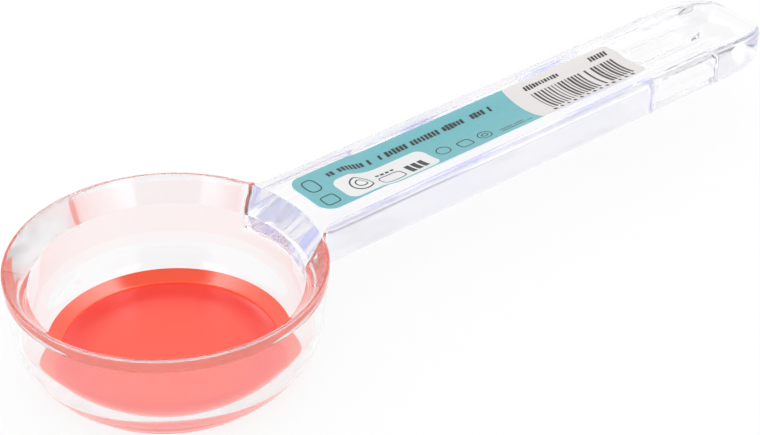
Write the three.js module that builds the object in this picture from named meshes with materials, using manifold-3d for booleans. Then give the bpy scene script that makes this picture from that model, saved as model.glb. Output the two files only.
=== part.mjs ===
// Clear moulded scoop with a soft push-up base: a round bowl, a solid flat handle with a hang slot,
// a red base whose floor is pressed up from below to push the portion out, and a printed label.
// Millimetres, +Z up. The bowl stands on z = 0 and the handle points along +X.
import * as THREE from "three";
import { mergeVertices } from "three/addons/utils/BufferGeometryUtils.js";
import Module from "manifold-3d";

// Bowl
const bowlRadius = 32; // outside, at the rim
const bowlHeight = 23.2; // rim above the table
const wallThickness = 4.73; // at the foot of the chamfer, measured from the rim radius
const wallTaper = 0.8; // the outside draws in by this much above the shoulder
const wallDraft = 0.2; // the inside draws in by this much from chamfer to floor fillet
const underRadius = 16.5; // the outside turns under along this arc
const rimLand = 1.05; // flat top of the rim
const rimEdge = 0.45; // rounding of the rim's outer edge
const chamferDepth = 4.6; // funnel inside the rim
const floorFillet = 4.85; // inside corner between wall and base
const floorFilletTurn = THREE.MathUtils.degToRad(60); // how far that corner turns before the base
const seatHeight = 4.2; // where the base's top edge meets the wall
const lipWidth = 0.5; // flat lower edge of the clear wall
const lipHeight = 0.65; // that edge above the table

// Soft base
const ringWidth = 2.58; // sloped ring that is bonded into the bowl
const ringDrop = 1.52; // its slope's fall towards the middle
const webWidth = 1.9; // thin wall between ring and floor
const webThickness = 1;
const floorHeight = 1.48; // top of the floor that is pressed
const floorRecess = 0.3; // underside of the floor above the table
const floorEdge = 0.35; // rounding of the floor's edges

// Handle
const handleEnd = 158.6; // tip, from the bowl's axis
const handleRootWidth = 21.2;
const handleTipWidth = 20.3;
const handleThickness = 8.8;
const handleDrop = 0.35; // handle's top below the rim
const handleEdge = 1.2; // rounding of the handle's edges
const tipCorner = 7; // plan radius of the tip's corners
const rootFillet = 3; // plan radius between bowl and handle
const channelStart = 47; // round-ended hollow along the handle's top, from the bowl's axis
const channelTipMargin = 5; // solid left between the hollow and the tip
const channelWidth = 15.7;
const channelDepth = 1.8;
const slotTipMargin = 11.2; // solid left between the hang slot and the tip
const slotLength = 21.3;
const slotWidth = 5.8;

// Label
const labelStart = 34.9; // from the bowl's axis
const labelLength = 90.7;
const labelWidth = 13.8;
const labelCorner = 3.2;
const labelThickness = 0.2;
const labelStiffness = 0.2; // how far the film bridges over the hollow's edge
const labelStep = 1.5; // spacing of the film's facets

// Clearances
const bondGap = 0.15; // between bonded or stuck faces
const turnSteps = 64; // facets round the bowl's axis
const overcut = 2; // how far cutters run past the faces they cut

const wasm = await Module();
wasm.setup();

const rim = bowlHeight;
const shoulderRadius = bowlRadius - wallTaper;
const chamferRadius = bowlRadius - wallThickness;
const filletCentreRadius = chamferRadius - wallDraft - floorFillet;
const filletCentreHeight = seatHeight + floorFillet * Math.sin(floorFilletTurn);
const seatRadius = filletCentreRadius + floorFillet * Math.cos(floorFilletTurn);
const ringInnerRadius = seatRadius - bondGap - ringWidth;
const ringInnerHeight = seatHeight - ringDrop;
const floorRadius = ringInnerRadius - webWidth;
const handleTop = rim - handleDrop;
const channelEnd = handleEnd - channelTipMargin;
const channelRadius = ((channelWidth / 2) ** 2 + channelDepth ** 2) / (2 * channelDepth);
const channelAxisHeight = handleTop - channelDepth + channelRadius;

// Points on an arc from one angle to another, in radians, as [radius, height] pairs.
function arc(centreRadius, centreHeight, radius, from, to, steps) {
  return Array.from({ length: steps + 1 }, (_, i) => {
    const angle = from + ((to - from) * i) / steps;
    return [centreRadius + radius * Math.cos(angle), centreHeight + radius * Math.sin(angle)];
  });
}

// Turns a profile of [radius, height] pairs about the bowl's axis. The profile runs upwards on its
// outer side, and starts and ends on the axis or closes on itself.
function turned(profile) {
  const points = profile.map(([radius, height]) => new THREE.Vector2(radius, height));
  return new THREE.LatheGeometry(points, turnSteps).rotateX(Math.PI / 2);
}

function solid(geometry) {
  const bare = geometry.clone();
  bare.deleteAttribute("normal");
  bare.deleteAttribute("uv");
  const merged = mergeVertices(bare, 1e-4);
  const vertProperties = new Float32Array(merged.attributes.position.array);
  const triVerts = new Uint32Array(merged.index.array);
  return new wasm.Manifold(new wasm.Mesh({ numProp: 3, vertProperties, triVerts }));
}

function geometryOf(body) {
  const { vertProperties, triVerts } = body.getMesh();
  const geometry = new THREE.BufferGeometry();
  geometry.setAttribute("position", new THREE.BufferAttribute(vertProperties, 3));
  geometry.setIndex(new THREE.BufferAttribute(triVerts, 1));
  geometry.computeVertexNormals();
  return geometry;
}

// The bowl's outside as a full solid: lip, arc under the bowl, slightly tapered wall, rounded rim.
function bowlOutside() {
  const lipRadius = seatRadius + lipWidth;
  const arcCentreRadius = shoulderRadius - underRadius;
  const lipAngle = -Math.acos((lipRadius - arcCentreRadius) / underRadius);
  const arcCentreHeight = lipHeight - underRadius * Math.sin(lipAngle);
  return turned([
    [0, lipHeight],
    ...arc(arcCentreRadius, arcCentreHeight, underRadius, lipAngle, 0, 12),
    ...arc(bowlRadius - rimEdge, rim - rimEdge, rimEdge, 0, Math.PI / 2, 3),
    [0, rim],
  ]);
}

// The space inside the bowl, from below the base's seat to above the rim.
function bowlInside() {
  const landRadius = bowlRadius - rimLand;
  const chamferSlope = (landRadius - chamferRadius) / chamferDepth;
  return turned([
    [0, -overcut],
    [seatRadius, -overcut],
    ...arc(filletCentreRadius, filletCentreHeight, floorFillet, -floorFilletTurn, 0, 6),
    [chamferRadius, rim - chamferDepth],
    [landRadius + overcut * chamferSlope, rim + overcut],
    [0, rim + overcut],
  ]);
}

// Flat bar with a rounded tip, filleted into the bowl's outside at its root.
function handleBar() {
  const rootHalf = handleRootWidth / 2;
  const tipHalf = handleTipWidth / 2;
  const rootRadius = shoulderRadius;
  const filletX = Math.sqrt((rootRadius + rootFillet) ** 2 - (rootHalf + rootFillet) ** 2);
  const filletY = rootHalf + rootFillet;
  const rootAngle = Math.atan2(filletY, filletX);
  const rootY = rootRadius * Math.sin(rootAngle);
  const buriedX = rootRadius * Math.cos(rootAngle) - wallThickness;
  const cornerX = handleEnd - tipCorner;
  const cornerY = tipHalf - tipCorner;
  const outline = new THREE.Shape();
  outline.moveTo(buriedX, -rootY);
  outline.lineTo(buriedX + wallThickness, -rootY);
  outline.absarc(filletX, -filletY, rootFillet, Math.PI - rootAngle, Math.PI / 2, true);
  outline.absarc(cornerX, -cornerY, tipCorner, -Math.PI / 2, 0, false);
  outline.absarc(cornerX, cornerY, tipCorner, 0, Math.PI / 2, false);
  outline.absarc(filletX, filletY, rootFillet, -Math.PI / 2, rootAngle - Math.PI, true);
  outline.lineTo(buriedX, rootY);
  const bar = new THREE.ExtrudeGeometry(outline, {
    depth: handleThickness - 2 * handleEdge,
    curveSegments: 10,
    bevelThickness: handleEdge,
    bevelSize: handleEdge,
    bevelOffset: -handleEdge,
    bevelSegments: 3,
  });
  return bar.translate(0, 0, handleTop - handleThickness + handleEdge);
}

// Round-bottomed cutter with round ends for the hollow along the handle's top.
function channelCutter() {
  const straight = channelEnd - channelStart - channelWidth;
  const cutter = new THREE.CapsuleGeometry(channelRadius, straight, 16, 120);
  return cutter.rotateZ(Math.PI / 2).translate((channelStart + channelEnd) / 2, 0, channelAxisHeight);
}

function slotCutter() {
  const end = handleEnd - slotTipMargin - slotWidth / 2;
  const start = end - slotLength + slotWidth;
  const outline = new THREE.Shape();
  outline.absarc(end, 0, slotWidth / 2, -Math.PI / 2, Math.PI / 2, false);
  outline.absarc(start, 0, slotWidth / 2, Math.PI / 2, 1.5 * Math.PI, false);
  const depth = handleThickness + 2 * overcut;
  const cutter = new THREE.ExtrudeGeometry(outline, { depth, curveSegments: 12, bevelEnabled: false });
  return cutter.translate(0, 0, handleTop - handleThickness - overcut);
}

function clearBody() {
  const body = solid(bowlOutside())
    .add(solid(handleBar()))
    .subtract(solid(bowlInside()))
    .subtract(solid(channelCutter()))
    .subtract(solid(slotCutter()));
  return geometryOf(body);
}

// Sloped ring bonded into the bowl's lower opening. The scoop stands on its flat underside.
function baseRing() {
  const outerRadius = seatRadius - bondGap;
  return turned([
    [ringInnerRadius, 0],
    [outerRadius, 0],
    [outerRadius, seatHeight],
    [ringInnerRadius, ringInnerHeight],
    [ringInnerRadius, 0],
  ]);
}

// Thin slanted wall that stretches when the floor is pressed up.
function baseWeb() {
  const outerRadius = ringInnerRadius - bondGap;
  const innerRadius = floorRadius + bondGap;
  return turned([
    [innerRadius, floorHeight - webThickness],
    [outerRadius, ringInnerHeight - webThickness],
    [outerRadius, ringInnerHeight],
    [innerRadius, floorHeight],
    [innerRadius, floorHeight - webThickness],
  ]);
}

// Flat floor of the base, the button that a finger presses from below.
function pushPad() {
  const edgeRadius = floorRadius - floorEdge;
  return turned([
    [0, floorRecess],
    ...arc(edgeRadius, floorRecess + floorEdge, floorEdge, -Math.PI / 2, 0, 3),
    ...arc(edgeRadius, floorHeight - floorEdge, floorEdge, 0, Math.PI / 2, 3),
    [0, floorHeight],
  ]);
}

// Depth of the hollow below the handle's top face at a point of its plan, negative outside it.
function channelSink(x, y) {
  const firstCentre = channelStart + channelWidth / 2;
  const lastCentre = channelEnd - channelWidth / 2;
  const along = x - THREE.MathUtils.clamp(x, firstCentre, lastCentre);
  const squared = Math.max(channelRadius ** 2 - along ** 2 - y ** 2, 0);
  return Math.sqrt(squared) - (channelRadius - channelDepth);
}

// Underside of the label. The film is a little stiff, so it eases over the hollow's edge.
function labelHeight(x, y) {
  const sink = Math.max(channelSink(x, y), 0);
  return handleTop + bondGap - sink ** 2 / (sink + labelStiffness);
}

// Distances along the label: fine round its corners, even between them.
function labelStations() {
  const cornerSteps = 5;
  const middle = labelLength - 2 * labelCorner;
  const middleSteps = Math.ceil(middle / labelStep);
  const corner = arc(labelCorner, 0, labelCorner, Math.PI, Math.PI / 2, cornerSteps).map(([along]) => along);
  const even = Array.from({ length: middleSteps - 1 }, (_, i) => ((i + 1) * middle) / middleSteps);
  const farCorner = corner.map((along) => labelLength - along).reverse();
  return [...corner, ...even.map((along) => labelCorner + along), ...farCorner];
}

// Thin printed sheet with round corners, stuck on the handle's top and dipping into the hollow.
function labelSheet() {
  const stations = labelStations();
  const across = 8;
  const lastRow = stations.length - 1;
  const positions = [];
  const index = [];
  for (const lift of [0, labelThickness]) {
    for (const along of stations) {
      const intoCorner = Math.max(labelCorner - along, labelCorner - labelLength + along, 0);
      const cornerCut = labelCorner - Math.sqrt(Math.max(labelCorner ** 2 - intoCorner ** 2, 0));
      for (let j = 0; j <= across; j++) {
        const x = labelStart + along;
        const y = (labelWidth / 2 - cornerCut) * ((2 * j) / across - 1);
        positions.push(x, y, labelHeight(x, y) + lift);
      }
    }
  }
  const quad = (a, b, c, d) => index.push(a, b, c, a, c, d);
  const under = (i, j) => i * (across + 1) + j;
  const over = (i, j) => under(i + stations.length, j);
  for (let i = 0; i < lastRow; i++) {
    for (let j = 0; j < across; j++) {
      quad(over(i, j), over(i + 1, j), over(i + 1, j + 1), over(i, j + 1));
      quad(under(i, j), under(i, j + 1), under(i + 1, j + 1), under(i + 1, j));
    }
    quad(under(i, 0), under(i + 1, 0), over(i + 1, 0), over(i, 0));
    quad(over(i, across), over(i + 1, across), under(i + 1, across), under(i, across));
  }
  for (let j = 0; j < across; j++) {
    quad(under(0, j), over(0, j), over(0, j + 1), under(0, j + 1));
    quad(under(lastRow, j), under(lastRow, j + 1), over(lastRow, j + 1), over(lastRow, j));
  }
  const sheet = new THREE.BufferGeometry();
  sheet.setAttribute("position", new THREE.Float32BufferAttribute(positions, 3));
  sheet.setIndex(index);
  sheet.computeVertexNormals();
  return sheet;
}

const clearPlastic = new THREE.MeshStandardMaterial({
  color: 0xf2f4f8,
  roughness: 0.05,
  metalness: 0,
  transparent: true,
  opacity: 0.35,
});
const softRed = new THREE.MeshStandardMaterial({ color: 0xf9604c, roughness: 0.5, metalness: 0 });
const printedFilm = new THREE.MeshStandardMaterial({ color: 0x4fb0b8, roughness: 0.4, metalness: 0 });

function piece(name, geometry, material) {
  const mesh = new THREE.Mesh(geometry, material);
  mesh.name = name;
  return mesh;
}

// The pieces are drawn from the bowl's axis, and the group's origin is under the middle of the length.
const pieces = new THREE.Group();
pieces.position.x = -(handleEnd - bowlRadius) / 2;
pieces.add(
  piece("clear_body", clearBody(), clearPlastic),
  piece("base_ring", baseRing(), softRed),
  piece("base_web", baseWeb(), softRed),
  piece("push_pad", pushPad(), softRed),
  piece("label", labelSheet(), printedFilm),
);

const scoop = new THREE.Group();
scoop.add(pieces);

export default scoop;
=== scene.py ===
import math

import bmesh
import bpy
import numpy as np
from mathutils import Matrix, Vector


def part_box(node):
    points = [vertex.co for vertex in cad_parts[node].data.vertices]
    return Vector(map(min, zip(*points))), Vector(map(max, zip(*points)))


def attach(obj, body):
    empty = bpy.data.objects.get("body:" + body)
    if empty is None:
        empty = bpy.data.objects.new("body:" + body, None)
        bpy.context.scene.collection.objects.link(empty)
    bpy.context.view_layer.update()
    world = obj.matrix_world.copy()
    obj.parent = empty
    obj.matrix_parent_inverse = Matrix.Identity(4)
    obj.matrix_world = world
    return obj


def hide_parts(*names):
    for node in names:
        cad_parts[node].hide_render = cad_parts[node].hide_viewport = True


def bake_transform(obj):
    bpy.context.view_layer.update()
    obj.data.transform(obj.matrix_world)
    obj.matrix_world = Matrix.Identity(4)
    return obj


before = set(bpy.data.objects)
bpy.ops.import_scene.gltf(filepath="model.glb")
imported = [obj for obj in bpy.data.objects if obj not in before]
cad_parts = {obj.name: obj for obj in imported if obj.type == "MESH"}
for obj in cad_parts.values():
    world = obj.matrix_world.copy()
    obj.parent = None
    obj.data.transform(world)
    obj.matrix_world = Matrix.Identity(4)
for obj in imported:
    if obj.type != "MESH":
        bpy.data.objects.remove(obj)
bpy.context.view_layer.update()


# Studio
# A white table top under wide soft light, with a lilac-grey backdrop, a darker gap overhead between two
# light boxes, and a dim opening behind the camera. The clear plastic shows these in its faces and edges.
MM = 0.001

body_low, body_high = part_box("clear_body")
bowl_radius = (body_high.y - body_low.y) / 2
bowl_x = body_low.x + bowl_radius
rim_z = body_high.z

# The camera looks down on the scoop from the bowl's side, through a long lens.
camera_turn = math.radians(-39.598)
camera_rise = math.radians(34.189)
camera_distance = 518.86 * MM
camera_aim = np.array([bowl_x + 41.94 * MM, -14.84 * MM, rim_z])
camera_back = np.array([
    math.sin(camera_turn) * math.cos(camera_rise),
    -math.cos(camera_turn) * math.cos(camera_rise),
    math.sin(camera_rise),
])

scene = bpy.context.scene
scene.view_settings.view_transform = "Standard"
scene.cycles.max_bounces = 48
scene.cycles.transmission_bounces = 48
scene.cycles.glossy_bounces = 12
scene.cycles.diffuse_bounces = 6

camera_data = bpy.data.cameras.new("camera")
camera_data.sensor_width = 36.0
camera_data.lens = 123.01
camera_data.clip_start = 0.01
camera = bpy.data.objects.new("camera", camera_data)
camera.location = camera_aim + camera_back * camera_distance
camera.rotation_euler = (math.pi / 2 - camera_rise, 0, camera_turn)
scene.collection.objects.link(camera)
scene.camera = camera


def wired(tree, node, *values):
    """Links or sets a node's first inputs, in order, and returns the node."""
    for socket, value in zip(node.inputs, values):
        if isinstance(value, bpy.types.NodeSocket):
            tree.links.new(value, socket)
        elif value is not None:
            socket.default_value = value
    return node


def maths(tree, operation, *values):
    node = tree.nodes.new("ShaderNodeMath")
    node.operation = operation
    return wired(tree, node, *values).outputs["Value"]


def vector_maths(tree, operation, *values):
    node = tree.nodes.new("ShaderNodeVectorMath")
    node.operation = operation
    result = "Value" if operation in ("LENGTH", "DOT_PRODUCT") else "Vector"
    return wired(tree, node, *values).outputs[result]


def stepped(tree, value, low, high, to_low=0.0, to_high=1.0):
    """Maps a value between two levels with a smooth step."""
    node = tree.nodes.new("ShaderNodeMapRange")
    node.interpolation_type = "SMOOTHSTEP"
    return wired(tree, node, value, low, high, to_low, to_high).outputs["Result"]


def rising(tree, value, span):
    return stepped(tree, value, *span)


def falling(tree, value, span):
    return stepped(tree, value, *span, 1.0, 0.0)


def mixed_colour(tree, share, first, second):
    node = tree.nodes.new("ShaderNodeMix")
    node.data_type = "RGBA"
    for name, value in (("Factor", share), ("A", first), ("B", second)):
        if isinstance(value, bpy.types.NodeSocket):
            tree.links.new(value, node.inputs[name])
        else:
            node.inputs[name].default_value = value
    return node.outputs["Result"]


light_level = 1.12
box_level = 2.6
side_direction = (math.cos(camera_turn), math.sin(camera_turn), 0.0)
depth_direction = (-math.sin(camera_turn), math.cos(camera_turn), 0.0)
light_colour = (1.0, 1.0, 1.0, 1.0)
backdrop_colour = (0.84, 0.835, 0.86, 1.0)
gap_colour = (0.50, 0.48, 0.66, 1.0)
gap_shade = (0.34, 0.32, 0.38, 1.0)
front_colour = (0.52, 0.51, 0.60, 1.0)

# Each zone of the sky fades over a span of its direction: to the side, into the depth or upward.
backdrop_depth, backdrop_rise = (0.25, 0.55), (0.05, 0.2)
gap_side, gap_rise = (0.28, 0.36), (0.7, 0.82)
box_inner, box_outer, box_rise = (0.30, 0.35), (0.35, 0.62), (0.6, 0.8)
front_depth, front_side, front_rise = (-0.65, -0.45), (0.4, 0.5), (0.1, 0.2)

world = bpy.data.worlds.new("studio")
world.use_nodes = True
scene.world = world
sky = world.node_tree
sky_way = sky.nodes.new("ShaderNodeTexCoord").outputs["Generated"]
sky_side = maths(sky, "ABSOLUTE", vector_maths(sky, "DOT_PRODUCT", sky_way, side_direction))
sky_depth = vector_maths(sky, "DOT_PRODUCT", sky_way, depth_direction)
sky_rise = vector_maths(sky, "DOT_PRODUCT", sky_way, (0, 0, 1))
sky_back = rising(sky, sky_depth, backdrop_depth)
sky_back = maths(sky, "MULTIPLY", sky_back, rising(sky, sky_rise, backdrop_rise))
sky_gap = maths(sky, "MULTIPLY", falling(sky, sky_side, gap_side), rising(sky, sky_rise, gap_rise))
sky_box = maths(sky, "MULTIPLY", rising(sky, sky_side, box_inner), falling(sky, sky_side, box_outer))
sky_box = maths(sky, "MULTIPLY", sky_box, rising(sky, sky_rise, box_rise))
sky_front = maths(sky, "MULTIPLY", falling(sky, sky_depth, front_depth), rising(sky, sky_rise, front_rise))
sky_front = maths(sky, "MULTIPLY", sky_front, falling(sky, sky_side, front_side))
sky_path = sky.nodes.new("ShaderNodeLightPath").outputs
sky_seen = maths(sky, "MAXIMUM", sky_path["Is Glossy Ray"], sky_path["Is Transmission Ray"])
sky_colour = mixed_colour(sky, maths(sky, "MULTIPLY", sky_back, sky_seen), light_colour, backdrop_colour)
sky_colour = mixed_colour(sky, maths(sky, "MULTIPLY", sky_front, sky_seen), sky_colour, front_colour)
gap_shown = mixed_colour(sky, sky_path["Is Glossy Ray"], gap_colour, gap_shade)
sky_colour = mixed_colour(sky, maths(sky, "MULTIPLY", sky_gap, sky_seen), sky_colour, gap_shown)
sky_box = maths(sky, "MULTIPLY", sky_box, sky_seen)
sky_strength = maths(sky, "MULTIPLY_ADD", sky_box, box_level, light_level)
wired(sky, sky.nodes["Background"], sky_colour, sky_strength)

floor_half = 1.5
floor_drop = 0.1 * MM
floor_white = (0.93, 0.93, 0.93, 1.0)
floor_glow_share = 0.85
floor_corners = [
    (-floor_half, -floor_half, -floor_drop),
    (floor_half, -floor_half, -floor_drop),
    (floor_half, floor_half, -floor_drop),
    (-floor_half, floor_half, -floor_drop),
]
floor_mesh = bpy.data.meshes.new("floor")
floor_mesh.from_pydata(floor_corners, [], [(0, 1, 2, 3)])
floor = bpy.data.objects.new("floor", floor_mesh)
scene.collection.objects.link(floor)
floor_material = bpy.data.materials.new("white_table")
floor_material.use_nodes = True
table = floor_material.node_tree
table.nodes.remove(table.nodes["Principled BSDF"])
table_diffuse = wired(table, table.nodes.new("ShaderNodeBsdfDiffuse"), floor_white).outputs["BSDF"]
table_glow = wired(table, table.nodes.new("ShaderNodeEmission"), light_colour, 1.0).outputs["Emission"]
table_path = table.nodes.new("ShaderNodeLightPath").outputs
table_seen = maths(table, "MAXIMUM", table_path["Is Camera Ray"], table_path["Is Glossy Ray"])
table_seen = maths(table, "MAXIMUM", table_seen, table_path["Is Transmission Ray"])
table_share = maths(table, "MULTIPLY", table_seen, floor_glow_share)
table_mix = wired(table, table.nodes.new("ShaderNodeMixShader"), table_share, table_diffuse, table_glow)
wired(table, table.nodes["Material Output"], table_mix.outputs["Shader"])
floor_mesh.materials.append(floor_material)


# Clear body
# One thick injection moulding in clear hard plastic: the bowl's wall with its funnelled rim, open below for
# the base, and the solid handle with a hollowed top, a rounded tip and a hang slot. Its faces are grids of
# points that share their borders, joined to one closed mesh before the slot is cut.
rim_land = 0.6 * MM
rim_edge = 0.45 * MM
chamfer_depth = 4.6 * MM
wall_thickness = 4.73 * MM
wall_lean = math.radians(4.5)
under_radius = 16.5 * MM
curve_start_z = 11.8 * MM
curve_turn = math.radians(17)
curve_lead = 0.47
curve_tail = 0.29
curve_drift = 0.02
round_margin = 0.5 * MM
seat_radius = 24.645 * MM
seat_z = 4.2 * MM
seat_slant = -0.15 * MM
lip_radius = 25.2 * MM
lip_z = 0.687 * MM

tip_overhang = 3.2 * MM
handle_end = body_high.x - bowl_x + tip_overhang
handle_root_half = 11.6 * MM
handle_tip_half = 11.2 * MM
handle_thickness = 9.4 * MM
handle_fall = 0.58 * MM
handle_top_edge = 2.0 * MM
handle_under_edge = 1.8 * MM
root_fillet = 3.0 * MM
under_fillet = 1.3 * MM
tip_length = 15.0 * MM
tip_plan_power = 2.5
tip_side_power = 2.3

channel_start = 47.0 * MM
channel_end = 153.6 * MM
channel_half = 7.85 * MM
channel_depth = 1.8 * MM
channel_soft = 0.12 * MM

slot_start = 126.1 * MM
slot_end = 147.4 * MM
slot_half = 2.9 * MM

chamfer_radius = bowl_radius - wall_thickness
channel_radius = (channel_half ** 2 + channel_depth ** 2) / (2 * channel_depth)


def arc_points(centre_r, centre_z, radius, start, stop, steps):
    angles = np.linspace(start, stop, steps + 1)
    return np.stack([centre_r + radius * np.cos(angles), centre_z + radius * np.sin(angles)], 1)


def line_points(start, stop, steps):
    share = np.linspace(0, 1, steps + 1)[:, None]
    return np.array(start) * (1 - share) + np.array(stop) * share


def curve_points(start, start_pull, stop_pull, stop, steps):
    """A smooth curve that leaves its start towards one pull point and comes to its end from another."""
    share = np.linspace(0, 1, steps + 1)[:, None]
    rest = 1 - share
    pulled = rest * np.array(start_pull) + share * np.array(stop_pull)
    return rest ** 3 * np.array(start) + 3 * share * rest * pulled + share ** 3 * np.array(stop)


def joined(*stretches):
    """Strings stretches of points together, each starting where the last one ended."""
    return np.concatenate([stretches[0]] + [stretch[1:] for stretch in stretches[1:]])


def turned(profile, angles):
    """Points of a (radius, height) profile turned about the bowl's axis, one row for each angle."""
    angles = np.asarray(angles)[:, None]
    radius = profile[None, :, 0]
    height = np.broadcast_to(profile[None, :, 1], (len(angles), len(profile)))
    return np.stack([bowl_x + radius * np.cos(angles), radius * np.sin(angles), height], 2)


def mesh_from_patches(name, patches):
    """Joins grids of points that share their borders into one mesh. A closed mesh gets outward faces."""
    points, faces, offset = [], [], 0
    for patch in patches:
        rows, columns = patch.shape[:2]
        ids = offset + np.arange(rows * columns).reshape(rows, columns)
        quads = np.stack([ids[:-1, :-1], ids[1:, :-1], ids[1:, 1:], ids[:-1, 1:]], 2).reshape(-1, 4)
        points.append(patch.reshape(-1, 3))
        faces.append(quads)
        offset += rows * columns
    mesh = bpy.data.meshes.new(name)
    mesh.from_pydata(np.concatenate(points).tolist(), [], np.concatenate(faces).tolist())
    shape = bmesh.new()
    shape.from_mesh(mesh)
    bmesh.ops.remove_doubles(shape, verts=shape.verts, dist=1e-7)
    bmesh.ops.dissolve_degenerate(shape, edges=shape.edges, dist=1e-8)
    bmesh.ops.recalc_face_normals(shape, faces=shape.faces)
    if shape.calc_volume(signed=True) < 0:
        bmesh.ops.reverse_faces(shape, faces=shape.faces)
    shape.to_mesh(mesh)
    shape.free()
    return mesh


def shade_smooth(mesh, sharp_angle):
    """Smooth shading, with edges over the angle left sharp."""
    shape = bmesh.new()
    shape.from_mesh(mesh)
    for face in shape.faces:
        face.smooth = True
    for edge in shape.edges:
        edge.smooth = edge.calc_face_angle(0.0) < sharp_angle
    shape.to_mesh(mesh)
    shape.free()


def placed(name, mesh):
    """Puts a mesh in the scene as an object at the origin."""
    thing = bpy.data.objects.new(name, mesh)
    scene.collection.objects.link(thing)
    return thing


def channel_sink(x, y):
    """Depth of the hollow in the handle's top, with its edge eased over."""
    first = channel_start + channel_half
    last = channel_end - channel_half
    along = x - np.clip(x, first, last)
    squared = np.maximum(channel_radius ** 2 - along ** 2 - y ** 2, 0)
    sink = np.sqrt(squared) - (channel_radius - channel_depth)
    return (sink + np.sqrt(sink ** 2 + channel_soft ** 2)) / 2


def handle_half(x):
    share = (x - bowl_radius) / (handle_end - bowl_radius)
    return handle_root_half + (handle_tip_half - handle_root_half) * share


def handle_top(x):
    return rim_z - handle_fall * (x - bowl_radius) / (handle_end - bowl_radius)


# The bowl's profile runs from the rim's flat top down the outside, under the lip, up the seat of the base
# and the inside, and over the chamfer back to the rim. The first rows carry the handle's root.
land_outer = bowl_radius - rim_edge
land_inner = bowl_radius - rim_land
wall_top_z = rim_z - rim_edge
root_z = rim_z - handle_thickness - under_fillet

# The round of the underside passes through the lip and touches the leaning wall without a kink.
lean_slope = math.tan(wall_lean)
axis_offset = bowl_radius - wall_top_z * lean_slope - under_radius / math.cos(wall_lean)
half_sum = (lip_radius - axis_offset) * lean_slope + lip_z
square_sum = (lip_radius - axis_offset) ** 2 + lip_z ** 2 - under_radius ** 2
spread = 1 + lean_slope ** 2
under_centre_z = (half_sum + math.sqrt(half_sum ** 2 - spread * square_sum)) / spread
under_centre_r = axis_offset + under_centre_z * lean_slope
touch_z = under_centre_z - under_radius * math.sin(wall_lean)
round_z = min(touch_z, root_z) - round_margin
round_angle = math.asin((round_z - under_centre_z) / under_radius)
lip_angle = math.asin((lip_z - under_centre_z) / under_radius)

# The inside rises from the seat at a slant and runs almost straight up into the wall.
curve_height = curve_start_z - seat_z
curve_start = (chamfer_radius, curve_start_z)
wall_pull = (chamfer_radius - curve_drift * curve_height, curve_start_z - curve_lead * curve_height)
seat_pull = (
    seat_radius + curve_tail * curve_height * math.sin(curve_turn),
    seat_z + curve_tail * curve_height * math.cos(curve_turn),
)


def wall_points(start_z, stop_z, steps):
    """The outside between two heights: the leaning wall, and below it the round of the underside."""
    height = np.linspace(start_z, stop_z, steps + 1)
    straight = bowl_radius - (wall_top_z - height) * lean_slope
    rounded = under_centre_r + np.sqrt(under_radius ** 2 - np.minimum(height - under_centre_z, 0) ** 2)
    return np.stack([np.where(height > touch_z, straight, rounded), height], 1)


root_rows = joined(
    arc_points(land_outer, wall_top_z, rim_edge, math.pi / 2, 0, 5),
    wall_points(wall_top_z, root_z, 14),
)
lower_rows = joined(
    wall_points(root_z, round_z, 4),
    arc_points(under_centre_r, under_centre_z, under_radius, round_angle, lip_angle, 40),
    line_points((lip_radius, lip_z), (seat_radius + seat_slant, lip_z), 2),
    line_points((seat_radius + seat_slant, lip_z), (seat_radius, seat_z), 6),
    curve_points((seat_radius, seat_z), seat_pull, wall_pull, curve_start, 30),
    line_points(curve_start, (chamfer_radius, rim_z - chamfer_depth), 8),
    line_points((chamfer_radius, rim_z - chamfer_depth), (land_inner, rim_z), 8),
    line_points((land_inner, rim_z), (land_outer, rim_z), 2),
)

root_angle = math.asin((handle_root_half + root_fillet) / (bowl_radius + root_fillet))
root_columns = 40
round_columns = 224
root_angles = np.linspace(root_angle, -root_angle, root_columns + 1)
round_angles = np.linspace(root_angle, 2 * math.pi - root_angle, round_columns + 1)
bowl_round = turned(joined(root_rows, lower_rows), round_angles)
bowl_at_handle = turned(lower_rows, root_angles)

# A handle section has as many points as the root's outline on the wall: half of each lower corner belongs
# to the side's rows and half to the underside's columns.
top_edge_steps = 10
half_corner_steps = 4
side_steps = len(root_rows) - 1 - top_edge_steps - half_corner_steps
flat_steps = root_columns - 2 * half_corner_steps


def hull_section(x):
    """The handle's sides and underside at one station, from its far top edge round to its near one."""
    half, top = handle_half(x), handle_top(x)
    edge_y, edge_z = half - handle_top_edge, -handle_top_edge
    corner_y, corner_z = half - handle_under_edge, handle_under_edge - handle_thickness
    top_arc = arc_points(edge_y, edge_z, handle_top_edge, math.pi / 2, 0, top_edge_steps)
    corner = arc_points(corner_y, corner_z, handle_under_edge, 0, -math.pi / 2, 2 * half_corner_steps)
    far = joined(top_arc, line_points(top_arc[-1], corner[0], side_steps), corner)
    flat = line_points(far[-1], far[-1] * (-1, 1), flat_steps)
    near = far[::-1] * (-1, 1)
    ring = joined(far, flat, near)
    return np.stack([np.full(len(ring), bowl_x + x), ring[:, 0], top + ring[:, 1]], 1)


def top_section(x):
    """The handle's hollowed top at one station. Its outer points stay up on the sides' top edges."""
    across = np.linspace(1, -1, root_columns + 1) * (handle_half(x) - handle_top_edge)
    sink = channel_sink(np.full_like(across, x), across)
    sink[[0, -1]] = 0
    return np.stack([np.full_like(across, bowl_x + x), across, handle_top(x) - sink], 1)


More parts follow.
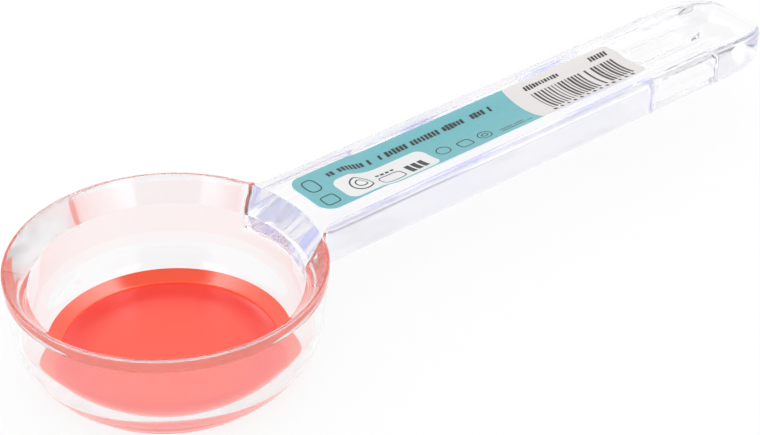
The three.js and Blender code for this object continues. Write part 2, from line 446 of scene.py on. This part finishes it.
# The root sweeps off the bowl's wall along smooth curves into the handle's first section. The curves leave
# the wall sideways at the handle's sides and upward under it, and turn from one to the other at the corner.
first_x = 33.4 * MM
last_x = handle_end - tip_length
corner_lead = 5
corner_rows = 8
sweep_steps = 10
root_edge = turned(root_rows, [root_angle, -root_angle])
under_edge = turned(lower_rows[:1], root_angles)[:, 0]
root_ring = joined(root_edge[0], under_edge, root_edge[1][::-1])
first_ring = hull_section(first_x)
side_count, ring_count = len(root_rows), len(root_ring)
steps_in = np.minimum(np.arange(ring_count), np.arange(ring_count)[::-1])
under_share = np.clip((steps_in - (side_count - corner_lead)) / corner_rows, 0, 1)[:, None]
side_sign = np.where(np.arange(ring_count) < ring_count / 2, 1.0, -1.0)
along_wall = np.stack(
    [np.full(ring_count, math.sin(root_angle)), -side_sign * math.cos(root_angle), np.zeros(ring_count)], 1
)
leave = along_wall * (1 - under_share) + np.array([0, 0, 1]) * under_share
leave /= np.linalg.norm(leave, axis=1)[:, None]
reach = np.linalg.norm(first_ring - root_ring, axis=1)[:, None]
root_steps = np.linspace(0, 1, sweep_steps + 1)[:, None, None]
ease = 3 * root_steps ** 2 - 2 * root_steps ** 3
root_sweep = (
    (1 - ease) * root_ring
    + (root_steps ** 3 - 2 * root_steps ** 2 + root_steps) * leave * reach
    + ease * first_ring
    + (root_steps ** 3 - root_steps ** 2) * np.array([1.0, 0, 0]) * reach
)
rim_arc = turned(root_rows[:1], root_angles)[:, 0]
across_share = ((rim_arc[0, 1] - rim_arc[:, 1]) / (rim_arc[0, 1] - rim_arc[-1, 1]))[:, None]
rim_bulge = rim_arc - (rim_arc[0] * (1 - across_share) + rim_arc[-1] * across_share)
far_edge, near_edge = root_sweep[:, :1], root_sweep[:, -1:]
even_share = np.linspace(0, 1, root_columns + 1)[:, None]
mixed_share = across_share * (1 - ease) + even_share * ease
top_sweep = far_edge * (1 - mixed_share) + near_edge * mixed_share + rim_bulge * (1 - ease)

handle_stations = np.linspace(first_x, last_x, 100)
hull_run = np.stack([hull_section(x) for x in handle_stations])
top_run = np.stack([top_section(x) for x in handle_stations])
top_run[0] = top_sweep[-1]

# The tip closes like a dome, a little squared off in plan and in its thickness.
tip_angles = np.linspace(0, math.pi / 2, 19)
tip_along = np.sin(tip_angles) ** (2 / tip_plan_power)
tip_across = np.cos(tip_angles) ** (2 / tip_plan_power)
tip_across[-1] = 0
tip_up = np.maximum(1 - tip_along ** tip_side_power, 0) ** (1 / tip_side_power)
tip_middle = handle_top(last_x) - handle_thickness / 2


def tip_rings(section):
    """A section drawn in to the tip's end, ring by ring."""
    x = bowl_x + last_x + tip_length * tip_along
    y = section[None, :, 1] * tip_across[:, None]
    z = tip_middle + (section[None, :, 2] - tip_middle) * tip_up[:, None]
    return np.stack([np.broadcast_to(x[:, None], y.shape), y, z], 2)


# The hollow runs on into the tip's top, whose outer points stay on the sides' edges and meet at the end.
flat_top = top_run[-1].copy()
flat_top[:, 2] = handle_top(last_x)
tip_top = tip_rings(flat_top)
tip_top[..., 2] -= channel_sink(tip_top[..., 0] - bowl_x, tip_top[..., 1])
tip_top[:, [0, -1], 2] += channel_sink(tip_top[:, [0, -1], 0] - bowl_x, tip_top[:, [0, -1], 1])
tip_top[-1] = tip_top[-1, 0]
top_run[-1] = tip_top[0]

clear_mesh = mesh_from_patches("clear_body_visual", [
    bowl_round, bowl_at_handle, root_sweep, hull_run, tip_rings(hull_run[-1]), top_sweep, top_run, tip_top,
])
clear_body = placed("clear_moulding", clear_mesh)

# The slot is cut with an upright block, rounded at both ends, that passes right through the handle.
slot_round = arc_points(0, 0, slot_half, -math.pi / 2, math.pi / 2, 24)
slot_far = slot_round + (slot_end - slot_half, 0)
slot_near = -slot_round + (slot_start + slot_half, 0)
slot_outline = np.concatenate([slot_far, slot_near])
slot_mesh = bpy.data.meshes.new("slot_cutter")
slot_shape = bmesh.new()
slot_low = rim_z - 2 * handle_thickness
slot_corners = [slot_shape.verts.new((bowl_x + x, y, slot_low)) for x, y in slot_outline]
slot_face = slot_shape.faces.new(slot_corners)
slot_risen = bmesh.ops.extrude_face_region(slot_shape, geom=[slot_face])["geom"]
slot_top = [corner for corner in slot_risen if isinstance(corner, bmesh.types.BMVert)]
bmesh.ops.translate(slot_shape, verts=slot_top, vec=(0, 0, 3 * handle_thickness))
bmesh.ops.recalc_face_normals(slot_shape, faces=slot_shape.faces)
slot_shape.to_mesh(slot_mesh)
slot_shape.free()
slot_cutter = placed("slot_cutter", slot_mesh)
slot_cut = clear_body.modifiers.new("hang_slot", "BOOLEAN")
slot_cut.operation = "DIFFERENCE"
slot_cut.solver = "EXACT"
slot_cut.object = slot_cutter
cut_mesh = bpy.data.meshes.new_from_object(clear_body.evaluated_get(bpy.context.evaluated_depsgraph_get()))
clear_body.modifiers.clear()
clear_body.data = cut_mesh
bpy.data.objects.remove(slot_cutter)
clear_crease = math.radians(28)
shade_smooth(cut_mesh, clear_crease)

plastic_tint = (0.83, 0.82, 0.93, 1.0)
tint_density = 5.0
flow_stretch = (0.35, 1.0, 1.0)
flow_span = (0.35, 0.7)
flow_roughness = (0.0, 0.02)
clear_material = bpy.data.materials.new("clear_plastic")
clear_material.use_nodes = True
clear_tree = clear_material.node_tree
clear_shader = clear_tree.nodes["Principled BSDF"]
clear_shader.inputs["Base Color"].default_value = (1.0, 1.0, 1.0, 1.0)
clear_shader.inputs["IOR"].default_value = 1.61
clear_shader.inputs["Transmission Weight"].default_value = 0.965
clear_place = clear_tree.nodes.new("ShaderNodeTexCoord")
clear_flow = vector_maths(clear_tree, "MULTIPLY", clear_place.outputs["Object"], flow_stretch)
clear_cloud = clear_tree.nodes.new("ShaderNodeTexNoise")
clear_cloud.inputs["Scale"].default_value = 120
clear_cloud.inputs["Detail"].default_value = 1
clear_tree.links.new(clear_flow, clear_cloud.inputs["Vector"])
clear_gloss = stepped(clear_tree, clear_cloud.outputs["Fac"], *flow_span, *flow_roughness)
clear_tree.links.new(clear_gloss, clear_shader.inputs["Roughness"])
clear_tint = clear_tree.nodes.new("ShaderNodeVolumeAbsorption")
clear_tint.inputs["Color"].default_value = plastic_tint
clear_tint.inputs["Density"].default_value = tint_density
clear_tree.links.new(clear_tint.outputs["Volume"], clear_tree.nodes["Material Output"].inputs["Volume"])
cut_mesh.materials.clear()
cut_mesh.materials.append(clear_material)
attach(clear_body, "scoop")
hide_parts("clear_body")


# Soft base
# One moulding in a rubbery red plastic that closes the bowl's bottom. A sloped ring is bonded to the clear
# wall, and a flat floor on a thin slanted wall is pressed up from below to push the portion out.
bond_depth = 0.02 * MM
ring_width = 2.73 * MM
ring_drop = 1.52 * MM
ring_foot = 0.4 * MM
bead_radius = 0.22 * MM
bead_drop = 0.132 * MM
web_width = 5.4 * MM
web_thickness = 2.0 * MM
web_step = 0.28 * MM
web_tuck = 0.1 * MM
floor_top = 1.48 * MM
floor_under = 0.3 * MM
soft_crease = math.radians(40)
ring_outer = seat_radius + bond_depth
ring_inner = seat_radius - ring_width
ring_inner_z = seat_z - ring_drop
pad_radius = ring_inner - web_width

full_turn = np.linspace(0, 2 * math.pi, 193)
bead_start = math.pi / 2 + math.atan2(ring_drop, ring_outer - ring_inner)
bead_centre = (ring_inner + bead_radius, ring_inner_z - bead_drop)
ring_bead = arc_points(*bead_centre, bead_radius, bead_start, math.pi, 5)
ring_profile = joined(
    line_points((ring_inner, ring_foot), (ring_inner + ring_foot, 0), 1),
    line_points((ring_inner + ring_foot, 0), (ring_outer + seat_slant, 0), 2),
    line_points((ring_outer + seat_slant, 0), (ring_outer + seat_slant, lip_z), 2),
    line_points((ring_outer + seat_slant, lip_z), (ring_outer, seat_z), 4),
    line_points((ring_outer, seat_z), ring_bead[0], 6),
    ring_bead,
    line_points(ring_bead[-1], (ring_inner, ring_foot), 2),
)
base_ring = placed("soft_ring", mesh_from_patches("soft_ring", [turned(ring_profile, full_turn)]))
shade_smooth(base_ring.data, soft_crease)

web_share = np.linspace(0, 1, 13)
web_curve = np.stack([
    ring_inner + web_tuck - (web_width + web_tuck) * web_share,
    floor_top + (ring_inner_z - web_step - floor_top) * (1 - web_share) ** 2,
], 1)
floor_profile = joined(
    line_points((0, floor_top), (pad_radius, floor_top), 10),
    web_curve[::-1],
    line_points(web_curve[0], web_curve[0] + (web_thickness, 0), 1),
    web_curve[:-2] + (web_thickness, 0),
    line_points(web_curve[-3] + (web_thickness, 0), (pad_radius + web_thickness, floor_under), 2),
    line_points((pad_radius + web_thickness, floor_under), (0, floor_under), 4),
)
base_floor = placed("soft_floor", mesh_from_patches("soft_floor", [turned(floor_profile, full_turn)]))
shade_smooth(base_floor.data, soft_crease)

# Painted light and shade: the red is paler in the middle, as table light coming through it, and the floor
# deeper red at its edge, as shade under the ring.
red_shaded_edge = (0.96, 0.026, 0.004, 1.0)
red_table_lit = (0.99, 0.062, 0.018, 1.0)
red_ring = (0.98, 0.088, 0.026, 1.0)
lit_within = 12.0 * MM
shaded_beyond = 20.0 * MM
centre_lit_share = 0.9
cloud_share = 0.1
cloud_span = (0.3, 0.7)
roughness_spread = 0.1
# Painted glow: the red glows in its own colour, more on upright faces than on top, for light from the
# table.
painted_side_glow = 0.38
painted_top_glow = 0.12
painted_glow_span = (0.2, 0.7)


def soft_red(name, roughness, edge_colour):
    """Red rubbery plastic, painted paler towards the middle, where it is thin, as table light coming
    through it, and deeper towards the edge as painted shade. A painted glow in the same colour, stronger on
    upright faces, stands for light from the table.
    """
    material = bpy.data.materials.new(name)
    material.use_nodes = True
    tree = material.node_tree
    shader = tree.nodes["Principled BSDF"]
    place = tree.nodes.new("ShaderNodeTexCoord")
    cloud = tree.nodes.new("ShaderNodeTexNoise")
    cloud.inputs["Scale"].default_value = 40
    cloud.inputs["Detail"].default_value = 0
    tree.links.new(place.outputs["Object"], cloud.inputs["Vector"])
    flat_place = vector_maths(tree, "MULTIPLY_ADD", place.outputs["Object"], (1, 1, 0), (-bowl_x, 0, 0))
    radius = vector_maths(tree, "LENGTH", flat_place)
    lit_and_mottled = stepped(tree, radius, lit_within, shaded_beyond, centre_lit_share, 0.0)
    lit_and_mottled = maths(tree, "MULTIPLY_ADD", cloud.outputs["Fac"], cloud_share, lit_and_mottled)
    colour = mixed_colour(tree, lit_and_mottled, edge_colour, red_table_lit)
    tree.links.new(colour, shader.inputs["Base Color"])
    tree.links.new(colour, shader.inputs["Emission Color"])
    upward = vector_maths(tree, "DOT_PRODUCT", place.outputs["Normal"], (0, 0, 1))
    glow = stepped(tree, upward, *painted_glow_span, painted_side_glow, painted_top_glow)
    tree.links.new(glow, shader.inputs["Emission Strength"])
    roughness_ends = (roughness * (1 - roughness_spread), roughness * (1 + roughness_spread))
    gloss = stepped(tree, cloud.outputs["Fac"], *cloud_span, *roughness_ends)
    tree.links.new(gloss, shader.inputs["Roughness"])
    shader.inputs["IOR"].default_value = 1.6
    shader.inputs["Specular IOR Level"].default_value = 0.8
    return material


base_ring.data.materials.append(soft_red("soft_red_ring", roughness=0.14, edge_colour=red_ring))
base_floor.data.materials.append(soft_red("soft_red_floor", roughness=0.21, edge_colour=red_shaded_edge))
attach(base_ring, "scoop")
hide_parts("base_ring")
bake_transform(base_floor)
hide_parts("base_web", "push_pad")


# Label
# A printed film stuck along the handle's top, from beside the rim down into the hollow: a teal block with a
# white panel, and a pale block. Its marks are plain bars, dashes, rings and outlines in dark ink.
label_start = 34.9 * MM
label_end = 125.6 * MM
label_half = 6.9 * MM
label_corner = 3.2 * MM
label_thickness = 0.18 * MM
label_bond = 0.06 * MM
label_columns = 28
label_crease = math.radians(50)


def label_top(x, y):
    return handle_top(x) - channel_sink(x, y) + label_thickness - label_bond


corner_steps = label_corner * (1 - np.cos(np.linspace(0, math.pi / 2, 13)))
label_stations = np.concatenate([
    label_start + corner_steps,
    np.linspace(label_start + label_corner, label_end - label_corner, 86)[1:-1],
    label_end - corner_steps[::-1],
])
end_gap = np.minimum(label_stations - label_start, label_end - label_stations)
corner_gap = np.maximum(label_corner - end_gap, 0)
label_halves = label_half - label_corner + np.sqrt(np.maximum(label_corner ** 2 - corner_gap ** 2, 0))
label_x = np.repeat(label_stations[:, None], label_columns + 1, 1)
label_y = np.linspace(1, -1, label_columns + 1)[None, :] * label_halves[:, None]
upper_face = np.stack([bowl_x + label_x, label_y, label_top(label_x, label_y)], 2)
lower_face = upper_face - (0, 0, label_thickness)
label_rims = [
    np.stack([upper_face[0], lower_face[0]]),
    np.stack([upper_face[-1], lower_face[-1]]),
    np.stack([upper_face[:, 0], lower_face[:, 0]]),
    np.stack([upper_face[:, -1], lower_face[:, -1]]),
]
label = placed("label_film", mesh_from_patches("label_film", [upper_face, lower_face, *label_rims]))
shade_smooth(label.data, label_crease)

print_edge = 0.08 * MM
panel_group = bpy.data.node_groups.new("rounded_panel", "ShaderNodeTree")
panel_socket = panel_group.interface.new_socket
panel_socket("Position", in_out="INPUT", socket_type="NodeSocketVector")
panel_socket("Centre", in_out="INPUT", socket_type="NodeSocketVector")
panel_socket("Half Size", in_out="INPUT", socket_type="NodeSocketVector")
panel_socket("Corner", in_out="INPUT", socket_type="NodeSocketFloat")
panel_socket("Mask", in_out="OUTPUT", socket_type="NodeSocketFloat")
panel_in = panel_group.nodes.new("NodeGroupInput").outputs
panel_out = panel_group.nodes.new("NodeGroupOutput").inputs
panel_offset = vector_maths(panel_group, "SUBTRACT", panel_in["Position"], panel_in["Centre"])
panel_away = vector_maths(panel_group, "ABSOLUTE", panel_offset)
panel_inner = vector_maths(panel_group, "SUBTRACT", panel_in["Half Size"], panel_in["Corner"])
panel_excess = vector_maths(panel_group, "SUBTRACT", panel_away, panel_inner)
panel_outside = vector_maths(panel_group, "MAXIMUM", panel_excess, (0, 0, 0))
panel_flat = vector_maths(panel_group, "MULTIPLY", panel_outside, (1, 1, 0))
panel_distance = vector_maths(panel_group, "LENGTH", panel_flat)
panel_depth = maths(panel_group, "SUBTRACT", panel_in["Corner"], panel_distance)
panel_soft = maths(panel_group, "MULTIPLY_ADD", panel_depth, 1 / print_edge, 0.5)
panel_clamp = panel_group.nodes.new("ShaderNodeClamp")
panel_group.links.new(panel_soft, panel_clamp.inputs["Value"])
panel_group.links.new(panel_clamp.outputs["Result"], panel_out["Mask"])

teal = (0.165, 0.46, 0.50, 1.0)
pale = (0.74, 0.71, 0.70, 1.0)
paper = (0.78, 0.78, 0.78, 1.0)
# Painted shade: lilac streaks on the film's underside.
lilac_shade = (0.48, 0.50, 0.77, 1.0)
teal_from = (label_start - label_corner, -2 * label_half)
teal_to = (93.8 * MM, 2 * label_half)
teal_corner = 0.1 * MM
white_from = (42.0 * MM, -6.3 * MM)
white_to = (66.2 * MM, 1.5 * MM)
white_corner = 2.2 * MM
teal_spread = 0.06
film_roughness = (0.32, 0.46)
upward_least = 0.3
# Painted glow on the film's underside, for table light seen through the clear handle.
painted_underside_glow = 0.6
streak_stretch = (0.1, 1.0, 1.0)
streak_span = (0.42, 0.58)

label_material = bpy.data.materials.new("printed_film")
label_material.use_nodes = True
print_tree = label_material.node_tree
print_shader = print_tree.nodes["Principled BSDF"]
print_place = print_tree.nodes.new("ShaderNodeTexCoord")


def panel_mask(tree, position, low, high, corner):
    """Where a rounded panel between two corner places lies on the film."""
    node = tree.nodes.new("ShaderNodeGroup")
    node.node_tree = panel_group
    node.inputs["Centre"].default_value = (bowl_x + (low[0] + high[0]) / 2, (low[1] + high[1]) / 2, 0)
    node.inputs["Half Size"].default_value = ((high[0] - low[0]) / 2, (high[1] - low[1]) / 2, 0)
    node.inputs["Corner"].default_value = corner
    tree.links.new(position, node.inputs["Position"])
    return node.outputs["Mask"]


print_fleck = print_tree.nodes.new("ShaderNodeTexNoise")
print_fleck.inputs["Scale"].default_value = 900
print_fleck.inputs["Detail"].default_value = 3
print_tree.links.new(print_place.outputs["Object"], print_fleck.inputs["Vector"])
teal_dark = [(1 - teal_spread) * part for part in teal[:3]] + [1.0]
teal_light = [(1 + teal_spread) * part for part in teal[:3]] + [1.0]
teal_print = mixed_colour(print_tree, print_fleck.outputs["Fac"], teal_dark, teal_light)
teal_mask = panel_mask(print_tree, print_place.outputs["Object"], teal_from, teal_to, teal_corner)
white_mask = panel_mask(print_tree, print_place.outputs["Object"], white_from, white_to, white_corner)
print_ground = mixed_colour(print_tree, teal_mask, pale, teal_print)
print_colour = mixed_colour(print_tree, white_mask, print_ground, paper)
print_parts = print_tree.nodes.new("ShaderNodeSeparateXYZ")
print_tree.links.new(print_place.outputs["Normal"], print_parts.inputs["Vector"])
print_upward = maths(print_tree, "GREATER_THAN", print_parts.outputs["Z"], upward_least)

# Below, the film's underside is painted with lilac shade streaks along the handle, and given a painted glow
# for light from the table.
shade_streaks = print_tree.nodes.new("ShaderNodeTexNoise")
shade_streaks.inputs["Scale"].default_value = 420
shade_streaks.inputs["Detail"].default_value = 2
streak_place = vector_maths(print_tree, "MULTIPLY", print_place.outputs["Object"], streak_stretch)
print_tree.links.new(streak_place, shade_streaks.inputs["Vector"])
shade_streak_share = stepped(print_tree, shade_streaks.outputs["Fac"], *streak_span)
underside = mixed_colour(print_tree, shade_streak_share, paper, lilac_shade)
label_colour = mixed_colour(print_tree, print_upward, underside, print_colour)
painted_under_glow = maths(print_tree, "MULTIPLY_ADD", print_upward, -painted_underside_glow, painted_underside_glow)
print_tree.links.new(underside, print_shader.inputs["Emission Color"])
print_tree.links.new(painted_under_glow, print_shader.inputs["Emission Strength"])
print_tree.links.new(label_colour, print_shader.inputs["Base Color"])
print_rough = print_tree.nodes.new("ShaderNodeMapRange")
print_rough.inputs["To Min"].default_value = film_roughness[0]
print_rough.inputs["To Max"].default_value = film_roughness[1]
print_tree.links.new(print_fleck.outputs["Fac"], print_rough.inputs["Value"])
print_tree.links.new(print_rough.outputs["Result"], print_shader.inputs["Roughness"])
label.data.materials.append(label_material)
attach(label, "scoop")
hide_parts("label")

ink_dark = (0.030, 0.030, 0.032, 1.0)
ink_thin = (0.055, 0.055, 0.058, 1.0)
ink_lift = 0.015 * MM
drop_height = 5.0 * MM
ink_material = bpy.data.materials.new("print_ink")
ink_material.use_nodes = True
ink_tree = ink_material.node_tree
ink_shader = ink_tree.nodes["Principled BSDF"]
ink_fleck = ink_tree.nodes.new("ShaderNodeTexNoise")
ink_fleck.inputs["Scale"].default_value = 2500
ink_place = ink_tree.nodes.new("ShaderNodeTexCoord")
ink_tree.links.new(ink_place.outputs["Object"], ink_fleck.inputs["Vector"])
ink_colour = mixed_colour(ink_tree, ink_fleck.outputs["Fac"], ink_dark, ink_thin)
ink_tree.links.new(ink_colour, ink_shader.inputs["Base Color"])
ink_shader.inputs["Roughness"].default_value = 0.45

# Rows of marks: each point of a line takes one flat mark of a random width and height, and some take none.
# The marks are then dropped straight down onto the film.
row_group = bpy.data.node_groups.new("row_of_marks", "GeometryNodeTree")
row_socket = row_group.interface.new_socket
row_socket("Film", in_out="INPUT", socket_type="NodeSocketObject")
row_socket("Start", in_out="INPUT", socket_type="NodeSocketVector")
row_socket("Step", in_out="INPUT", socket_type="NodeSocketVector")
row_socket("Count", in_out="INPUT", socket_type="NodeSocketInt")
row_socket("Least Size", in_out="INPUT", socket_type="NodeSocketVector")
row_socket("Most Size", in_out="INPUT", socket_type="NodeSocketVector")
row_socket("Kept Share", in_out="INPUT", socket_type="NodeSocketFloat")
row_socket("Seed", in_out="INPUT", socket_type="NodeSocketInt")
row_socket("Lift", in_out="INPUT", socket_type="NodeSocketFloat")
row_socket("Ink", in_out="INPUT", socket_type="NodeSocketMaterial")
row_socket("Marks", in_out="OUTPUT", socket_type="NodeSocketGeometry")
row_in = row_group.nodes.new("NodeGroupInput").outputs
row_out = row_group.nodes.new("NodeGroupOutput").inputs
row_line = row_group.nodes.new("GeometryNodeMeshLine")
row_group.links.new(row_in["Count"], row_line.inputs["Count"])
row_group.links.new(row_in["Start"], row_line.inputs["Start Location"])
row_group.links.new(row_in["Step"], row_line.inputs["Offset"])
row_size = row_group.nodes.new("FunctionNodeRandomValue")
row_size.data_type = "FLOAT_VECTOR"
row_group.links.new(row_in["Least Size"], row_size.inputs["Min"])
row_group.links.new(row_in["Most Size"], row_size.inputs["Max"])
row_group.links.new(row_in["Seed"], row_size.inputs["Seed"])
row_kept = row_group.nodes.new("FunctionNodeRandomValue")
row_kept.data_type = "BOOLEAN"
row_group.links.new(row_in["Kept Share"], row_kept.inputs["Probability"])
row_group.links.new(row_in["Seed"], row_kept.inputs["Seed"])
row_mark = row_group.nodes.new("GeometryNodeMeshGrid")
row_mark.inputs["Size X"].default_value = 1.0
row_mark.inputs["Size Y"].default_value = 1.0
row_mark.inputs["Vertices X"].default_value = 3
row_mark.inputs["Vertices Y"].default_value = 13
row_choice = next(output for output in row_kept.outputs if output.type == "BOOLEAN")
row_marks = row_group.nodes.new("GeometryNodeInstanceOnPoints")
row_group.links.new(row_line.outputs["Mesh"], row_marks.inputs["Points"])
row_group.links.new(row_choice, row_marks.inputs["Selection"])
row_group.links.new(row_mark.outputs["Mesh"], row_marks.inputs["Instance"])
row_group.links.new(row_size.outputs["Value"], row_marks.inputs["Scale"])
row_real = row_group.nodes.new("GeometryNodeRealizeInstances")
row_group.links.new(row_marks.outputs["Instances"], row_real.inputs["Geometry"])
row_film = row_group.nodes.new("GeometryNodeObjectInfo")
row_group.links.new(row_in["Film"], row_film.inputs["Object"])
row_drop = row_group.nodes.new("GeometryNodeRaycast")
row_group.links.new(row_film.outputs["Geometry"], row_drop.inputs["Target Geometry"])
row_drop.inputs["Ray Direction"].default_value = (0, 0, -1)
row_drop.inputs["Ray Length"].default_value = 1.0
row_raise = row_group.nodes.new("ShaderNodeCombineXYZ")
row_group.links.new(row_in["Lift"], row_raise.inputs["Z"])
row_rest = vector_maths(row_group, "ADD", row_drop.outputs["Hit Position"], row_raise.outputs["Vector"])
row_settle = row_group.nodes.new("GeometryNodeSetPosition")
row_group.links.new(row_real.outputs["Geometry"], row_settle.inputs["Geometry"])
row_group.links.new(row_rest, row_settle.inputs["Position"])
row_paint = row_group.nodes.new("GeometryNodeSetMaterial")
row_group.links.new(row_settle.outputs["Geometry"], row_paint.inputs["Geometry"])
row_group.links.new(row_in["Ink"], row_paint.inputs["Material"])
row_group.links.new(row_paint.outputs["Geometry"], row_out["Marks"])


def row_of_marks(start, step, count, least, most, kept, seed):
    """One row of flat marks on the film, as a plain mesh. Places and sizes are in millimetres."""
    carrier = placed("row_carrier", bpy.data.meshes.new("row_carrier"))
    maker = carrier.modifiers.new("row_of_marks", "NODES")
    maker.node_group = row_group
    settings = {
        "Film": label,
        "Start": (bowl_x + start[0] * MM, start[1] * MM, rim_z + drop_height),
        "Step": (step[0] * MM, step[1] * MM, 0),
        "Count": count,
        "Least Size": (least[0] * MM, least[1] * MM, 1),
        "Most Size": (most[0] * MM, most[1] * MM, 1),
        "Kept Share": kept,
        "Seed": seed,
        "Lift": ink_lift,
        "Ink": ink_material,
    }
    for item in row_group.interface.items_tree:
        if item.in_out == "INPUT":
            maker[item.identifier] = settings[item.name]
    bpy.context.view_layer.update()
    mesh = bpy.data.meshes.new_from_object(carrier.evaluated_get(bpy.context.evaluated_depsgraph_get()))
    bpy.data.objects.remove(carrier)
    return mesh


def outlined(points, width):
    """A closed line of even width on the film, through points in millimetres."""
    points = np.array(points)
    ahead = np.roll(points, -1, 0) - np.roll(points, 1, 0)
    ahead /= np.linalg.norm(ahead, axis=1)[:, None]
    aside = np.stack([ahead[:, 1], -ahead[:, 0]], 1) * width / 2
    edges = np.stack([points - aside, points, points + aside]) * MM
    edges = np.concatenate([edges, edges[:, :1]], 1)
    height = label_top(edges[..., 0], edges[..., 1]) + ink_lift
    grid = np.stack([bowl_x + edges[..., 0], edges[..., 1], height], 2)
    return mesh_from_patches("outline", [grid])


def ring_points(x, y, radius_x, radius_y, power, steps=40):
    """A closed round: an ellipse at a power of 2, and squarer above it."""
    angles = np.linspace(0, 2 * math.pi, steps, endpoint=False)
    cosine, sine = np.cos(angles), np.sin(angles)
    across = np.sign(cosine) * np.abs(cosine) ** (2 / power)
    upward = np.sign(sine) * np.abs(sine) ** (2 / power)
    return np.stack([x + radius_x * across, y + radius_y * upward], 1)


# A row has its start, step, count, least and most size, share kept and seed. An outline has its centre,
# half sizes, squareness and line width. Places and sizes are in millimetres, along and across the film.
mark_meshes = [
    row_of_marks((42.6, 3.8), (0.98, 0), 47, (0.62, 1.25), (0.86, 1.65), 0.84, 3),
    row_of_marks((98.9, 4.75), (0.85, 0), 13, (0.45, 0.8), (0.7, 1.4), 0.85, 11),
    row_of_marks((118.3, 4.9), (0.9, 0), 6, (0.55, 1.3), (0.7, 1.4), 1.0, 5),
    row_of_marks((98.9, -0.9), (0.98, 0), 25, (0.22, 7.5), (0.78, 7.5), 0.96, 8),
    row_of_marks((98.4, -5.6), (1.9, 0), 13, (0.5, 0.8), (0.9, 0.9), 1.0, 6),
    row_of_marks((84.0, -4.0), (0.5, 0), 13, (0.3, 0.3), (0.42, 0.42), 0.9, 9),
    row_of_marks((84.0, -4.9), (0.5, 0), 17, (0.3, 0.3), (0.42, 0.42), 0.9, 10),
    row_of_marks((52.6, -1.0), (1.3, 0), 4, (0.8, 0.5), (1.0, 0.6), 1.0, 13),
    row_of_marks((59.6, -3.4), (1.7, 0), 3, (1.2, 3.2), (1.3, 3.4), 1.0, 14),
    outlined(ring_points(47.2, -2.6, 2.5, 2.4, 2), 0.34),
    outlined(ring_points(47.2, -2.6, 1.3, 1.2, 2), 0.3),
    outlined(ring_points(54.6, -3.6, 2.9, 1.6, 4), 0.26),
    outlined(ring_points(38.3, 2.6, 1.5, 2.2, 3), 0.3),
    outlined(ring_points(38.3, -3.6, 1.7, 1.6, 5), 0.28),
    outlined(ring_points(69.6, -2.2, 1.6, 1.5, 2), 0.26),
    outlined(ring_points(74.9, -3.1, 1.6, 1.4, 4), 0.3),
    outlined(ring_points(80.2, -3.2, 1.6, 1.5, 2), 0.26),
    outlined(ring_points(80.2, -3.2, 0.7, 0.6, 2), 0.26),
]
marks_shape = bmesh.new()
for mark_mesh in mark_meshes:
    marks_shape.from_mesh(mark_mesh)
for mark_face in marks_shape.faces:
    mark_face.normal_update()
    if mark_face.normal.z < 0:
        mark_face.normal_flip()
    mark_face.material_index = 0
marks_mesh = bpy.data.meshes.new("label_marks")
marks_shape.to_mesh(marks_mesh)
marks_shape.free()
marks_mesh.materials.append(ink_material)
label_marks = placed("label_marks", marks_mesh)
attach(label_marks, "scoop")
